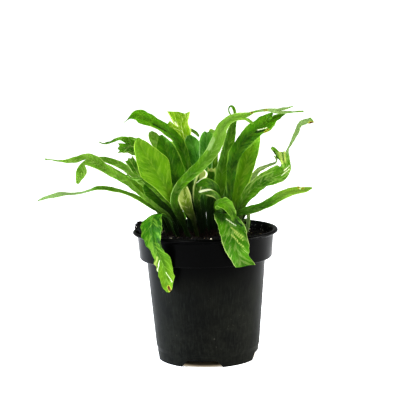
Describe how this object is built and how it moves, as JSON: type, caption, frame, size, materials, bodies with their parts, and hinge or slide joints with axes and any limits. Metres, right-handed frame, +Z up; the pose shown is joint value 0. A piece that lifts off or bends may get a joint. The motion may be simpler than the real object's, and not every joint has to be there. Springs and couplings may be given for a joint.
{
  "type": "potted fern",
  "caption": "Crested strap fern with rippled, twisted and forked fronds rising from a half-buried rhizome, in a round tapered nursery pot with a collar, a rolled lip and a notched foot.",
  "frame": {"origin": "middle of the whole plant's footprint, at the level that the pot's foot stands on", "axes": "+Z up along the pot's axis; the front of the plant, the side in the picture, faces -Y; +X to the right seen from the front"},
  "size_m": [0.2314, 0.1994, 0.2083],
  "materials": {
    "black_plastic": "black moulded polypropylene with a soft sheen",
    "potting_mix": "moist peat and bark crumbs, rough",
    "rhizome": "scaly brown rhizome, rough",
    "frond": "leathery green blade, softly glossy above, with paler veins and margins"
  },
  "bodies": {
    "root": {"pot": "black_plastic", "potting_mix": "potting_mix", "rhizome": "rhizome", "frond_left_forked": "frond", "frond_left_behind": "frond", "frond_left_low": "frond", "frond_left_hanging": "frond", "frond_broad_front": "frond", "frond_left_crest": "frond", "frond_left_split": "frond", "frond_high_left_arch": "frond", "frond_high_fan": "frond", "frond_pale_arc": "frond", "frond_round_lobe": "frond", "frond_behind_broad": "frond", "frond_s_curve": "frond", "frond_heart_left": "frond", "frond_heart_right": "frond", "frond_looped": "frond", "frond_dark_lobed": "frond", "frond_wide_right": "frond", "frond_right_crest": "frond", "frond_thin_curl": "frond", "frond_right_low": "frond", "frond_right_hanging": "frond", "frond_right_flap": "frond", "frond_young_cream": "frond", "frond_young_curl": "frond", "frond_young_blunt": "frond", "frond_young_pale_edge": "frond", "frond_young_dark": "frond", "frond_left_shaded": "frond", "frond_fiddlehead": "frond", "frond_small_stem": "frond", "frond_behind_right_crest": "frond", "frond_behind_right_low": "frond", "frond_behind_left_forked": "frond", "frond_behind_left_low": "frond", "frond_back_arch_1": "frond", "frond_back_arch_2": "frond", "frond_back_arch_3": "frond", "frond_back_arch_4": "frond", "frond_back_arch_5": "frond", "frond_back_arch_6": "frond", "frond_back_arch_7": "frond", "frond_back_arch_8": "frond", "frond_back_arch_9": "frond", "frond_back_arch_10": "frond"}
  },
  "joints": []
}
